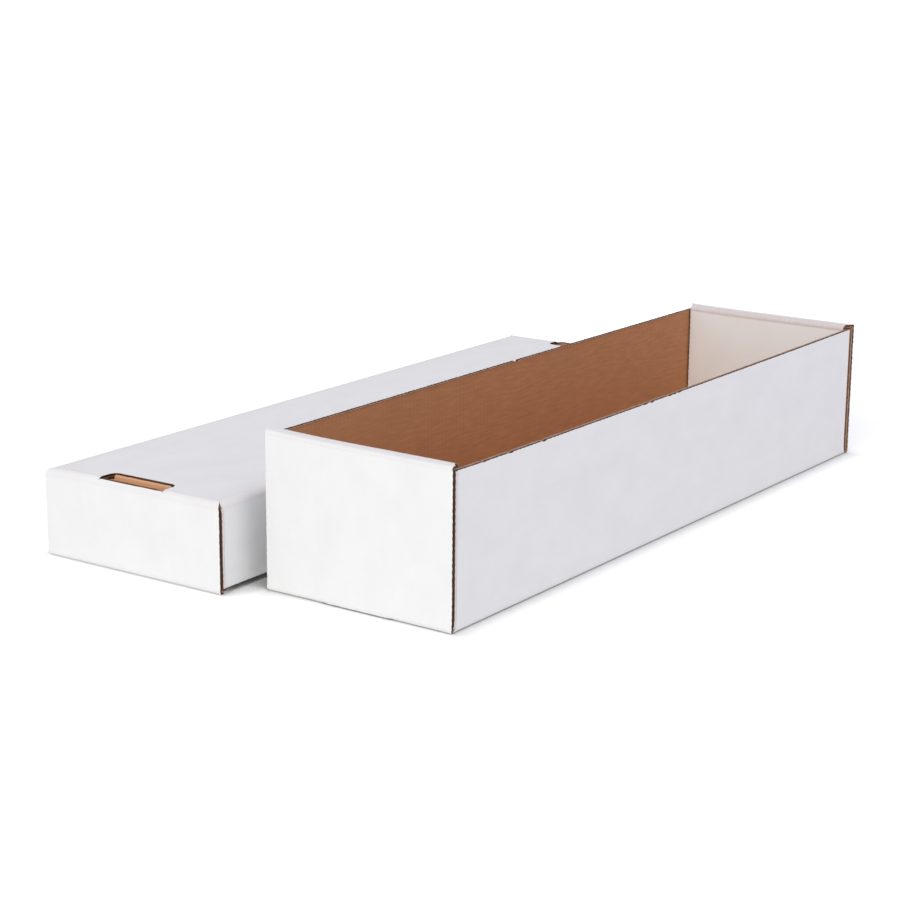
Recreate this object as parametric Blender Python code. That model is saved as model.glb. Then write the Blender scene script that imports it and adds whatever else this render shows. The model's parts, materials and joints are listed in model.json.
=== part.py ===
"""Card storage box of fluted board: an open tray with rolled ends, and the full lid that slides over it.

Each of the two is one die-cut blank. Its floor, walls, corner flaps and rolled ends are panels that meet
at creases, and each panel is an object of its own, named for its place in the box.
"""

import math

import bmesh
import bpy
from mathutils import Vector

MODEL_NAME = "card_storage_box"

# Board: two liners with a fluted medium between them, in metres
BOARD = 0.0018
LINER = 0.00025
MEDIUM = 0.0002
FLUTE_PITCH = 0.0030

# Creases: the air between panels that meet, and the outer liner's bend round the fold
CREASE_GAP = 0.0003
FOLD_RADIUS = 0.0015
FOLD_STEPS = 4
EASING_STEPS = 4

# Base tray, outside, its height taken to the top of the rolled ends
BASE_LENGTH = 0.3860
BASE_WIDTH = 0.1016
BASE_HEIGHT = 0.0735

# Lid, which slips over the base with a little air all round
LID_HEIGHT = 0.0409
LID_CLEARANCE = 0.0005

# Where the lid lies: beside the base's left wall, a little nearer and slightly turned
LID_GAP = 0.0115
LID_LEAD = 0.0188
LID_TURN = math.radians(0.92)

# Rolled ends: end wall, corner flap and inner panel lie loosely against one another
LAYER_GAP = 0.0008
WALL_DROP = 0.0024
PANEL_SIDE_GAP = 0.0009
PANEL_FOOT_GAP = 0.0007
PANEL_CORNER_RADIUS = 0.0030

# Corner flaps: the air between the two at each end, and their taper towards it
FLAP_MEETING_GAP = 0.0134
FLAP_TAPER = 0.0030
FLAP_EDGE_GAP = 0.0009
FLAP_CORNER_RADIUS = 0.0040

# Locking tab and the slot that it is pushed into
SLOT_LENGTH = 0.0390
SLOT_PLAY = 0.0033
SLOT_RADIUS = 0.0040
TAB_PLAY = 0.0014
TAB_TAPER = 0.0008
TAB_LIFT = 0.0003
TAB_CORNER_RADIUS = 0.0006

OVERRUN = 0.0010
WELD_DISTANCE = 0.00001

# What follows from the sizes above
ROLL_DEPTH = 3 * BOARD + 2 * LAYER_GAP
LID_LENGTH = BASE_LENGTH + 2 * (ROLL_DEPTH + LID_CLEARANCE)
LID_WIDTH = BASE_WIDTH + 2 * (BOARD + LID_CLEARANCE)

# Colour, roughness of the two faces of the board
WHITE_LINER = ((0.78, 0.77, 0.79), 0.62)
KRAFT_LINER = ((0.33, 0.17, 0.09), 0.80)

# Turns a flat outline drawn in its own X and Y so that Y stands up
ACROSS_THE_BOX = (math.pi / 2, 0, 0)
FACING_THE_END = (math.pi / 2, 0, math.pi / 2)
LYING_FLAT = (0, 0, 0)

ENDS = {"near": -1, "far": 1}


def clear_scene():
    for thing in list(bpy.data.objects):
        bpy.data.objects.remove(thing, do_unlink=True)


def new_collection(name):
    collection = bpy.data.collections.new(name)
    bpy.context.scene.collection.children.link(collection)
    return collection


def board_material(name, liner):
    colour, roughness = liner
    material = bpy.data.materials.new(name)
    material.use_nodes = True
    shader = material.node_tree.nodes["Principled BSDF"]
    shader.inputs["Base Color"].default_value = (*colour, 1)
    shader.inputs["Roughness"].default_value = roughness
    shader.inputs["Metallic"].default_value = 0
    return material


def rounded(corners):
    """Outline through corners given as (x, y, radius), each eased by its own radius."""
    outline = []
    for index, (x, y, radius) in enumerate(corners):
        corner = Vector((x, y))
        if radius == 0:
            outline.append((x, y))
            continue
        before = (Vector(corners[index - 1][:2]) - corner).normalized()
        after = (Vector(corners[(index + 1) % len(corners)][:2]) - corner).normalized()
        half_angle = before.angle(after) / 2
        centre = corner + (before + after).normalized() * radius / math.sin(half_angle)
        first = corner + before * radius / math.tan(half_angle) - centre
        last = corner + after * radius / math.tan(half_angle) - centre
        start = math.atan2(first.y, first.x)
        turn = math.remainder(math.atan2(last.y, last.x) - start, 2 * math.pi)
        for step in range(EASING_STEPS + 1):
            angle = start + turn * step / EASING_STEPS
            outline.append((centre.x + radius * math.cos(angle), centre.y + radius * math.sin(angle)))
    return outline


def folded_section(run):
    """A run of board seen end on, as (along, depth): at both ends the outer face bends into a fold."""
    arc = []
    for step in range(FOLD_STEPS + 1):
        angle = math.pi / 2 * step / FOLD_STEPS
        arc.append((FOLD_RADIUS * (1 - math.cos(angle)), FOLD_RADIUS * (1 - math.sin(angle))))
    other_end = [(run - along, depth) for along, depth in reversed(arc)]
    return [(0, BOARD)] + arc + other_end + [(run, BOARD)]


def plain_section(run):
    """A run of board seen end on, cut square at both ends."""
    return [(0, 0), (run, 0), (run, BOARD), (0, BOARD)]


def flute_cells(run):
    """The open cells along a run of board, as (along, depth), one against each liner in every pitch."""
    rise = BOARD - 2 * LINER
    half_pitch = FLUTE_PITCH / 2
    web = MEDIUM / 2 * math.hypot(half_pitch, rise) / rise
    height = rise * (1 - web / half_pitch)
    count = int((run - half_pitch) / FLUTE_PITCH)
    margin = (run - half_pitch - count * FLUTE_PITCH) / 2
    cells = []
    for index in range(count):
        start = margin + index * FLUTE_PITCH
        for shift, liner, towards in ((0, LINER, 1), (half_pitch, BOARD - LINER, -1)):
            cells.append([
                (start + shift + web, liner),
                (start + shift + FLUTE_PITCH - web, liner),
                (start + shift + half_pitch, liner + towards * height),
            ])
    return cells


def cut_board(name, outlines, thickness):
    """A flat outline, followed by the outlines of its holes, thickened evenly to both sides."""
    curve = bpy.data.curves.new(name, "CURVE")
    curve.dimensions = "2D"
    curve.fill_mode = "BOTH"
    curve.extrude = thickness / 2
    for outline in outlines:
        spline = curve.splines.new("POLY")
        spline.points.add(len(outline) - 1)
        for point, (x, y) in zip(spline.points, outline):
            point.co = (x, y, 0, 1)
        spline.use_cyclic_u = True
    return bpy.data.objects.new(name, curve)


def made_mesh(piece):
    """Replaces a placed curve object by a welded mesh object, which can be cut and can cut."""
    bpy.context.view_layer.update()
    evaluated = piece.evaluated_get(bpy.context.evaluated_depsgraph_get())
    mesh = bpy.data.meshes.new_from_object(evaluated)
    welded = bmesh.new()
    welded.from_mesh(mesh)
    bmesh.ops.remove_doubles(welded, verts=welded.verts, dist=WELD_DISTANCE)
    welded.to_mesh(mesh)
    welded.free()
    name = piece.name
    solid = bpy.data.objects.new(f"{name}_mesh", mesh)
    solid.parent = piece.parent
    solid.location = piece.location
    solid.rotation_euler = piece.rotation_euler
    piece.users_collection[0].objects.link(solid)
    bpy.data.objects.remove(piece, do_unlink=True)
    solid.name = name
    return solid


def eased_block(name, size, edges_to_ease, radius):
    """A block centred on its origin, with the edges that the test picks rounded."""
    block = bmesh.new()
    bmesh.ops.create_cube(block, size=1)
    bmesh.ops.scale(block, vec=size, verts=block.verts)
    picked = [edge for edge in block.edges if edges_to_ease(*[vert.co for vert in edge.verts])]
    bmesh.ops.bevel(
        block,
        geom=picked,
        offset=radius,
        offset_type="OFFSET",
        segments=FOLD_STEPS,
        profile=0.5,
        affect="EDGES",
    )
    mesh = bpy.data.meshes.new(name)
    block.to_mesh(mesh)
    block.free()
    return bpy.data.objects.new(name, mesh)


class FoldedTray:
    """One folded blank, open side up, centred on the underside of its floor."""

    def __init__(self, name, floor_name, size, side_names, root, collections, shows_side_flutes):
        self.name = name
        self.floor_name = floor_name
        self.shows_side_flutes = shows_side_flutes
        self.length, self.width, self.height = size
        self.side_names = side_names
        self.root = root
        self.parts, self.cutters = collections

    def place(self, piece, parent, location, turn=LYING_FLAT, liner=WHITE_LINER):
        piece.parent = parent
        piece.location = location
        piece.rotation_euler = turn
        piece.data.materials.append(board_material(piece.name, liner))
        self.parts.objects.link(piece)
        return piece

    def crease(self, name, parent, location):
        """An empty on the line that a panel turns about."""
        line = bpy.data.objects.new(f"{self.name}_{name}", None)
        line.parent = parent
        line.location = location
        self.parts.objects.link(line)
        return line

    def build(self):
        self.build_floor()
        for side_name, side in self.side_names.items():
            self.build_side_wall(side_name, side)
        for end_name, end in ENDS.items():
            self.build_end_wall(end_name, end)
            for side_name, side in self.side_names.items():
                self.build_corner_flap(f"{end_name}_{side_name}", end, side)
            self.build_rolled_end(end_name, end)

    def build_floor(self):
        """The floor panel, its lower edges bent into the creases, with a slot open at each end."""
        size = (self.length, self.width, BOARD)
        floor = eased_block(self.floor_name, size, lambda a, b: a.z < 0 and b.z < 0, FOLD_RADIUS)
        self.place(floor, self.root, (0, 0, BOARD / 2), liner=KRAFT_LINER)
        for end_name, end in ENDS.items():
            slot = self.slot_cutter(f"{self.name}_slot_cutter_{end_name}", end)
            cut = floor.modifiers.new(f"slot_{end_name}", "BOOLEAN")
            cut.operation = "DIFFERENCE"
            cut.object = slot

    def slot_cutter(self, name, end):
        outer = self.length / 2 + SLOT_RADIUS + OVERRUN
        inner = self.length / 2 - ROLL_DEPTH - SLOT_PLAY
        size = (outer - inner, SLOT_LENGTH, BOARD + 2 * OVERRUN)
        cutter = eased_block(name, size, lambda a, b: a.z * b.z < 0, SLOT_RADIUS)
        return self.place_cutter(cutter, (end * (outer + inner) / 2, 0, BOARD / 2), LYING_FLAT)

    def place_cutter(self, cutter, location, turn):
        """Puts a cutting solid in place, out of the renders."""
        cutter.parent = self.root
        cutter.location = location
        cutter.rotation_euler = turn
        self.cutters.objects.link(cutter)
        if cutter.type == "CURVE":
            cutter = made_mesh(cutter)
        cutter.hide_render = True
        cutter.display_type = "WIRE"
        return cutter

    def open_flutes(self, wall, cells, depth):
        """Cuts the cells of the fluted medium right through a wall along its flutes."""
        cutter = cut_board(f"{wall.name}_flute_cutter", cells, depth + 2 * OVERRUN)
        cutter = self.place_cutter(cutter, wall.location, wall.rotation_euler)
        solid = made_mesh(wall)
        cut = solid.modifiers.new("flutes", "BOOLEAN")
        cut.operation = "DIFFERENCE"
        cut.object = cutter

    def build_side_wall(self, side_name, side):
        """A single thickness of board whose flutes stand upright and show along its raw upper edge."""
        run = self.length - 2 * (BOARD + LAYER_GAP)
        outline, *cells = [
            [(along - run / 2, side * (self.width / 2 - depth)) for along, depth in section]
            for section in [folded_section(run)] + flute_cells(run)
        ]
        foot = BOARD + CREASE_GAP
        top = self.height - WALL_DROP
        wall = cut_board(f"{self.name}_side_wall_{side_name}", [outline], top - foot)
        self.place(wall, self.root, (0, 0, (top + foot) / 2))
        if self.shows_side_flutes:
            self.open_flutes(wall, cells, top - foot)

    def build_end_wall(self, end_name, end):
        """The outer wall of a rolled end, whose flutes run across the box and show at its cut edges."""
        foot = BOARD + CREASE_GAP
        run = self.height - 2 * foot
        outline, *cells = [
            [(end * (self.length / 2 - depth), foot + along) for along, depth in section]
            for section in [plain_section(run)] + flute_cells(run)
        ]
        wall = cut_board(f"{self.name}_end_wall_{end_name}", [outline], self.width)
        self.place(wall, self.root, (0, 0, 0), ACROSS_THE_BOX)
        self.open_flutes(wall, cells, self.width)

    def build_corner_flap(self, corner_name, end, side):
        """A flap hinged on the side wall's end and folded in between end wall and inner panel."""
        root = self.width / 2 - BOARD - CREASE_GAP
        tip = FLAP_MEETING_GAP / 2
        foot = BOARD + FLAP_EDGE_GAP
        top = self.height - BOARD - FLAP_EDGE_GAP
        outline = rounded([
            (side * root, foot, 0),
            (side * tip, foot + FLAP_TAPER, FLAP_CORNER_RADIUS),
            (side * tip, top - FLAP_TAPER, FLAP_CORNER_RADIUS),
            (side * root, top, 0),
        ])
        flap = cut_board(f"{self.name}_corner_flap_{corner_name}", [outline], BOARD)
        layer = self.length / 2 - BOARD - LAYER_GAP - BOARD / 2
        self.place(flap, self.root, (end * layer, 0, 0), FACING_THE_END)

    def build_rolled_end(self, end_name, end):
        """The strip over the end wall, the panel that hangs inside it and the tab at its foot."""
        outer_line = (end * self.length / 2, 0, self.height)
        outer_crease = self.crease(f"outer_crease_{end_name}", self.root, outer_line)
        strip_outline = [(-end * along, -depth) for along, depth in folded_section(ROLL_DEPTH)]
        strip = cut_board(f"{self.name}_roll_strip_{end_name}", [strip_outline], self.width)
        self.place(strip, outer_crease, (0, 0, 0), ACROSS_THE_BOX)

        inner_crease = self.crease(f"inner_crease_{end_name}", outer_crease, (-end * ROLL_DEPTH, 0, 0))
        top = -BOARD - CREASE_GAP
        foot = BOARD + PANEL_FOOT_GAP - self.height
        half_width = self.width / 2 - BOARD - PANEL_SIDE_GAP
        panel_outline = rounded([
            (-half_width, foot, PANEL_CORNER_RADIUS),
            (half_width, foot, PANEL_CORNER_RADIUS),
            (half_width, top, 0),
            (-half_width, top, 0),
        ])
        panel = cut_board(f"{self.name}_inner_panel_{end_name}", [panel_outline], BOARD)
        self.place(panel, inner_crease, (end * BOARD / 2, 0, 0), FACING_THE_END)

        half_root = SLOT_LENGTH / 2 - TAB_PLAY
        half_tip = half_root - TAB_TAPER
        tip = TAB_LIFT - self.height
        tab_outline = rounded([
            (-half_tip, tip, TAB_CORNER_RADIUS),
            (half_tip, tip, TAB_CORNER_RADIUS),
            (half_root, foot - CREASE_GAP, 0),
            (-half_root, foot - CREASE_GAP, 0),
        ])
        tab = cut_board(f"{self.name}_locking_tab_{end_name}", [tab_outline], BOARD)
        self.place(tab, inner_crease, (end * BOARD / 2, 0, 0), FACING_THE_END, KRAFT_LINER)


def build_base(collections):
    size = (BASE_LENGTH, BASE_WIDTH, BASE_HEIGHT)
    sides = {"left": 1, "right": -1}
    FoldedTray("base", "base_floor", size, sides, None, collections, shows_side_flutes=True).build()


def build_lid(collections):
    """The lid is the same tray turned over, so that its floor is the top panel."""
    parts = collections[0]
    corner = bpy.data.objects.new("lid_corner", None)
    corner.location = (-BASE_LENGTH / 2 - LID_LEAD, BASE_WIDTH / 2 + LID_GAP, 0)
    corner.rotation_euler = (0, 0, LID_TURN)
    parts.objects.link(corner)
    root = bpy.data.objects.new("lid_root", None)
    root.parent = corner
    root.location = (LID_LENGTH / 2, LID_WIDTH / 2, LID_HEIGHT)
    root.rotation_euler = (math.pi, 0, 0)
    parts.objects.link(root)
    size = (LID_LENGTH, LID_WIDTH, LID_HEIGHT)
    sides = {"left": -1, "right": 1}
    FoldedTray("lid", "lid_top_panel", size, sides, root, collections, shows_side_flutes=False).build()


def main():
    clear_scene()
    collections = (new_collection(MODEL_NAME), new_collection("cutters"))
    build_base(collections)
    build_lid(collections)
    bpy.context.view_layer.update()


main()
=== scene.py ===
import json
import math

import bmesh
import bpy
from bpy.props import FloatProperty, FloatVectorProperty, IntProperty, PointerProperty
from bpy.types import Operator, Panel, PropertyGroup
from mathutils import Matrix, Vector, noise
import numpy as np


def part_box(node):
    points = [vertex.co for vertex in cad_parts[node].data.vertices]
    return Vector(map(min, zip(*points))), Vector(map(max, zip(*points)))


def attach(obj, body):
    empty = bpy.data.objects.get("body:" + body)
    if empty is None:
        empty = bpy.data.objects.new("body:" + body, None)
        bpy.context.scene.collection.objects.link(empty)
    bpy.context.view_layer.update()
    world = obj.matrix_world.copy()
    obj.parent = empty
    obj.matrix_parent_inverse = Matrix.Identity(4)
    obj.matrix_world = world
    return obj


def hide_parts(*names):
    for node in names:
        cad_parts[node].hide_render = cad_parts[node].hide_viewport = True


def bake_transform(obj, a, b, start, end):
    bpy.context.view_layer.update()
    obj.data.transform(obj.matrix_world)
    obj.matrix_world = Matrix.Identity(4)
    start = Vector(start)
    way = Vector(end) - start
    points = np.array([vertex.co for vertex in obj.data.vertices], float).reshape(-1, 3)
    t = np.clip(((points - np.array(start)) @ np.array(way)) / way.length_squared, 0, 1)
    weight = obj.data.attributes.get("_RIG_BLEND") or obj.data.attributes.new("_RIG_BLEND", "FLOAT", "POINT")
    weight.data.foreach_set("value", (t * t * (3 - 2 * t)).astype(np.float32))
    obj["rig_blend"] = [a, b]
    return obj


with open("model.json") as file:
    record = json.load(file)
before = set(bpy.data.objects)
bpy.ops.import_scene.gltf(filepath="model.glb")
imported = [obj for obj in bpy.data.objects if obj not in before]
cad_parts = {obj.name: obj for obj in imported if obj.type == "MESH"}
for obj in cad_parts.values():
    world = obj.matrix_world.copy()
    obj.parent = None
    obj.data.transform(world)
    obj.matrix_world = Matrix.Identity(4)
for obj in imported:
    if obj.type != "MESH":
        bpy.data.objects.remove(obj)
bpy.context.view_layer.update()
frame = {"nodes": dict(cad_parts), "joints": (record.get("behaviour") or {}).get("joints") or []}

bl_info = {
    "name": "Card Storage Box",
    "version": (1, 0, 0),
    "blender": (4, 5, 0),
    "location": "3D View > Sidebar > Card Box",
    "description": "Builds a card storage box and its lid from folded panels of white-faced fluted board",
    "category": "Add Mesh",
}

FLOOR_NODES = {"base": "base_floor", "lid": "lid_top_panel"}
SIDES = {"base": {"left": 1, "right": -1}, "lid": {"left": -1, "right": 1}}
ENDS = {"near": -1, "far": 1}

# How fine the meshes are, and small sizes of the creases, flaps and tabs, in metres
STATIONS_PER_FLUTE = 6
EDGE_BAND = 0.0004
FOOT_STEP = 0.0003
FOOT_END = 0.0066
LEAD = 0.0005
BEND_REACH = 0.0012
FLAP_BEND_REACH = 0.0005
DRAW_REACH = 0.006
FAR_DRAW_REACH = 0.02
PINCH_REACH = 0.003
LIP_EASE = 0.004
LIP_START = 0.0003
PANEL_CORNER = 0.003
TAB_CORNER = 0.0006
TAB_TAPER = 0.0008
NICK_REACH = 0.0016
FOLD_TINT = 0.3
WHOLE = 1e-7

# The floor's place, how open its shaded stretches are, and the lamps
GROUND_LEVEL = -0.0003
CORNER_OPEN = (0.12, 0.48)
FOOT_CLEAR = (0.2, 0.5)
FOOT_OPEN = (0.05, 0.95)
NEAR_END_LINE = (-0.195, -0.191)
FRONT_SHARE = 0.3
GLOW_RISE = (0.2, 0.5)
LAMP_SIZE = 2.6
LAMP_DISTANCE = 4.5
LAMP_ELEVATION = math.radians(30)


# Settings


def number(name, description, default, **more):
    return FloatProperty(name=name, description=description, default=default, **more)


def length(name, description, default):
    return number(name, description, default, unit="LENGTH", precision=5)


def power(name, description, default):
    return number(name, description, default, unit="POWER")


def angle(name, description, degrees):
    return number(name, description, math.radians(degrees), subtype="ANGLE")


def colour(name, description, default):
    return FloatVectorProperty(name=name, description=description, default=default, subtype="COLOR")


class CARDBOX_PG_board(PropertyGroup):
    """The board that both trays are cut from."""

    thickness: length("Thickness", "Board, over both liners", 0.0018)
    liner: length("Liner", "Thickness of each liner", 0.00025)
    far_liner: length("Far liner", "The same at the base's far end wall", 0.00045)
    medium: length("Medium", "Thickness of the fluted paper", 0.0002)
    pitch: length("Flute pitch", "From one flute to the next", 0.003)
    fold_radius: length("Fold radius", "Outer radius of a crease", 0.0014)
    lid_fold_radius: length(
        "Lid fold radius", "Outer radius of the softer creases round the lid's top panel", 0.0030
    )
    roll_fold_radius: length(
        "Roll fold radius", "Outer radius of the looser crease above each inner panel", 0.0024
    )
    flap_fold_radius: length(
        "Flap fold radius", "Outer radius of the sharper creases at the corner flaps", 0.0006
    )
    crush: number("Crush", "Share of its thickness that board loses in a crease", 0.30)
    flap_crush: number("Flap crush", "The same share in the sharper creases", 0.68)
    cut_crush: number("Cut crush", "Share of its thickness that board loses at a cut edge", 0.22)
    edge_swell: number("Edge swell", "Share of its thickness that an end wall gains at its side edges", 0.20)
    far_swell: number("Far swell", "The same share at the base's far end wall", 0.80)
    top_swell: number("Top swell", "Share of its thickness that a side wall gains at its top edge", 0.30)
    print_through: length("Print-through", "How far the liners sink between flutes", 0.000015)
    ragged: length("Ragged edge", "How far a cut edge strays", 0.00012)
    recess: length("Recess", "How far the fluted paper stands back at a cut", 0.0004)
    left_rise: length("Left rise", "How far the base's left wall stands above its true height", 0.0009)
    right_sag: length("Right sag", "How far the base's right wall sinks below its true height", 0.0007)
    lid_rise: length("Lid rise", "How far the lid's top panel is bowed up at its near end", 0.0020)
    pinch_height: length("Pinch height", "How far up the corner slits are drawn shut", 0.007)
    pinch_draw: length("Pinch draw", "How far the side walls' ends are drawn outwards there", 0.0014)
    scallop: length("Scallop", "How far a cut liner stands out at each flute", 0.00008)
    seed: IntProperty(name="Seed", description="Varies the cut edges", default=7)


class CARDBOX_PG_blank(PropertyGroup):
    """What the die cuts: gaps, flaps, slots and tabs."""

    roll_depth: length("Roll depth", "Over the three layers of a rolled end", 0.007)
    loose_near: length("Loose near roll", "How far the base's near roll stands open", 0.0008)
    loose_far: length("Loose far roll", "How far the base's far roll stands open", 0.0016)
    loose_lid: length("Loose lid rolls", "How far the lid's rolls stand open", 0.0014)
    far_draw: length("Far draw", "How far the far corners' creases stand back from the far roll", 0.0026)
    lid_lean: length(
        "Lid lean", "How far the lid's inner panels slant away from its ends at their feet", 0.0025
    )
    flap_foot: length("Flap foot", "From the crease's end to a corner flap", 0.0003)
    strip_taper: length("Strip taper", "Narrowing of a roll's strip at each side", 0.0024)
    flap_taper: length("Flap taper", "Narrowing of a corner flap at its tip", 0.003)
    flap_radius: length("Flap corner", "Radius at a corner flap's tip", 0.004)
    flap_gap: length("Between flaps", "Air between the two flaps of an end", 0.0134)
    slot_length: length("Slot length", "Slot for the locking tab", 0.039)
    slot_play: length("Slot play", "From the inner panel's face to the slot's edge", 0.0033)
    lid_slot_play: length("Lid slot play", "The same distance in the lid", 0.0046)
    slot_radius: length("Slot corner", "Radius of the slot's corners", 0.004)


class CARDBOX_PG_paper(PropertyGroup):
    """Colours of the paper, with lighter and darker copies that are painted light and shade."""

    white: colour("White liner", "Outer face", (0.865, 0.864, 0.868))
    kraft: colour("Kraft liner", "Inner face", (0.57, 0.272, 0.128))
    # Painted light: lighter copies of both liners, laid on the inner panels and tabs to brighten them where
    # the lamps leave them darker
    fresh_white: colour("Fresh white", "Outer face where nothing has rubbed it", (0.93, 0.955, 0.985))
    fresh_kraft: colour("Fresh kraft", "Inner face where nothing has rubbed it", (0.80, 0.44, 0.25))
    # Painted shade: the fluted paper is coloured far darker than it is, for the shaded hollows between the
    # liners
    medium: colour("Fluted paper", "Paper between the liners", (0.10, 0.045, 0.027))
    cut: colour("Cut edge", "Raw edge of a liner", (0.80, 0.60, 0.47))
    # Painted shade: the dark colour given to cut edges in shadow; it also colours the cut's random dark
    # patches
    cut_patch_and_shade: colour("Dark cut edge", "The same edge where the die has burnished it", (0.13, 0.062, 0.042))
    crease: colour("Crease", "White liner where it is strained", (0.70, 0.62, 0.60))


class CARDBOX_PG_stage(PropertyGroup):
    """Floor, lamps and camera."""

    ground: colour("Ground", "Colour of the floor", (0.97, 0.97, 0.97))
    glow: number("Glow", "Light that the floor adds for the camera alone, beside the box", 0.24)
    far_glow: number("Far glow", "The same light far from the box", 0.45)
    foot_reach: length("Foot reach", "How far from any wall the floor is shaded", 0.012)
    foot_shade: number("Foot shade", "Share of its brightness that the floor loses at a side wall", 0.7)
    corner_reach: length("Corner reach", "How far the floor is shaded between walls", 0.06)
    corner_shade: number("Corner shade", "Share of its brightness that the floor loses between walls", 0.95)
    sky: number("Sky", "Even light from all round", 0.65)
    sky_colour: colour("Sky colour", "Tint of the even light", (1.005, 0.995, 1.12))
    key: power("Key lamp", "Soft lamp beyond the near end", 75.0)
    fill: power("Fill lamp", "Soft lamp beside the box", 12.0)
    warm: colour("Lamp colour", "Tint of both lamps", (0.99, 1.0, 0.84))
    focal_length: number("Focal length", "For a 36 mm frame", 85.514)
    camera: FloatVectorProperty(
        name="Camera", description="Where it stands", default=(-0.8917, -0.54547, 0.30168), subtype="XYZ"
    )
    yaw: angle("Yaw", "Turn from the box's length", 35.376)
    pitch: angle("Pitch", "Tilt below the horizon", 14.476)
    roll: angle("Roll", "Turn about the line of sight", 0.402)


# Node trees


def arithmetic(operation):
    """An operator and its reflected form, both of which add a Math node."""
    def forward(self, other):
        return self.math(operation, self, other)

    def reflected(self, other):
        return self.math(operation, other, self)

    return forward, reflected


class Value:
    """A node's output. Arithmetic on it adds Math nodes to its tree."""

    __add__, __radd__ = arithmetic("ADD")
    __sub__, __rsub__ = arithmetic("SUBTRACT")
    __mul__, __rmul__ = arithmetic("MULTIPLY")
    __truediv__, __rtruediv__ = arithmetic("DIVIDE")

    def __init__(self, sheet, socket):
        self.sheet = sheet
        self.socket = socket

    def math(self, operation, *operands):
        return self.sheet.value("ShaderNodeMath", {"operation": operation}, dict(enumerate(operands)))

    def sine(self):
        return self.math("SINE", self)

    def above(self, limit):
        return self.math("GREATER_THAN", self, limit)

    def within(self, low, high, to_low=0.0, to_high=1.0):
        """This value's way from low to high, held inside the range that it is carried to."""
        sockets = {0: self, 1: low, 2: high, 3: to_low, 4: to_high}
        return self.sheet.value("ShaderNodeMapRange", {"clamp": True}, sockets)


class Sheet:
    """A node tree that is written node by node."""

    def __init__(self, tree):
        self.tree = tree
        tree.nodes.clear()

    def node(self, kind, settings=None, sockets=None):
        made = self.tree.nodes.new(kind)
        for name, setting in (settings or {}).items():
            setattr(made, name, setting)
        for key, given in (sockets or {}).items():
            if isinstance(given, Value):
                self.tree.links.new(given.socket, made.inputs[key])
            else:
                made.inputs[key].default_value = given
        return made

    def value(self, kind, settings=None, sockets=None, output=0):
        return Value(self, self.node(kind, settings, sockets).outputs[output])

    def vector(self, operation, *operands):
        return self.value("ShaderNodeVectorMath", {"operation": operation}, dict(enumerate(operands)))

    def scaled(self, vector, factor):
        return self.value("ShaderNodeVectorMath", {"operation": "SCALE"}, {0: vector, "Scale": factor})

    def mixed(self, factor, first, second):
        """Two colours mixed, either of them a link or three numbers."""
        first, second = (c if isinstance(c, Value) else (*c, 1) for c in (first, second))
        return self.value("ShaderNodeMix", {"data_type": "RGBA"}, {0: factor, 6: first, 7: second}, output=2)

    def noise(self, vector, scale, detail=2.0, roughness=0.5, seed=0.0):
        sockets = {"Vector": vector, "W": seed, "Scale": scale, "Detail": detail, "Roughness": roughness}
        return self.value("ShaderNodeTexNoise", {"noise_dimensions": "4D"}, sockets)

    def attribute(self, name):
        return self.value("ShaderNodeAttribute", {"attribute_name": name}, output=2)


# Paper


class PaperMaterial(Sheet):
    """A Principled material whose patterns follow the board: U across the flutes, V along them."""

    def __init__(self, name):
        material = bpy.data.materials.new(name)
        material.use_nodes = True
        super().__init__(material.node_tree)
        self.material = material
        self.grain = self.value("ShaderNodeUVMap", {"uv_map": "UVMap"})

    def stretched(self, across, along):
        """Board coordinates scaled so that a pattern is drawn out across or along the flutes."""
        return self.value("ShaderNodeMapping", {}, {"Vector": self.grain, "Scale": (across, along, 1)})

    def finish(self, colour, roughness, height, bump_distance):
        bump = self.value("ShaderNodeBump", {}, {"Distance": bump_distance, "Height": height})
        sockets = {"Base Color": colour, "Roughness": roughness, "Normal": bump}
        shader = self.value("ShaderNodeBsdfPrincipled", {}, sockets)
        shader.socket.node.inputs["Specular IOR Level"].default_value = 0.3
        self.node("ShaderNodeOutputMaterial", {}, {"Surface": shader})
        return self.material


def scaled_colour(factor, colour):
    return tuple(factor * channel for channel in colour)


def white_liner_material(paper, board):
    """Bleached paper: clay-smooth, faintly cloudy, with fibre specks and a warm bloom where it is creased;
    the bloom is laid on heavily as painted shade on the base's far inner fold, and the paper is lighter on
    the inner panels as painted light.
    """
    sheet = PaperMaterial("white_liner")
    cloud = sheet.noise(sheet.stretched(1, 1.6), 38, detail=3, roughness=0.6, seed=1.0)
    fibre = sheet.noise(sheet.stretched(0.35, 1), 1500, detail=2, seed=2.0)
    speck = sheet.noise(sheet.grain, 900, detail=1, seed=3.0).within(0.70, 0.78)
    fold = sheet.attribute("fold")
    edge = sheet.attribute("edge")
    strain = sheet.noise(sheet.stretched(1, 1), 420, detail=3, seed=4.0).within(0.35, 0.7)

    # Painted light: the inner panels take the lighter white
    white = sheet.mixed(sheet.attribute("fresh"), tuple(paper.white), tuple(paper.fresh_white))
    colour = sheet.mixed((1 - cloud.within(0.3, 0.7)) * 0.045, white, (0, 0, 0))
    colour = sheet.mixed(speck * 0.12, colour, tuple(paper.cut))
    colour = sheet.mixed(fold * (0.45 + 0.2 * strain), colour, tuple(paper.crease))
    # Near a cut the white takes some tan from the cut colour, scaled by the same share that paints the cut
    # light or shaded
    colour = sheet.mixed(edge * 0.2 * strain, colour, tuple(paper.cut))
    roughness = fibre.within(0.3, 0.7, 0.52, 0.66)
    return sheet.finish(colour, roughness, fibre * 0.6 + strain * fold, 0.00004)


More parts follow.
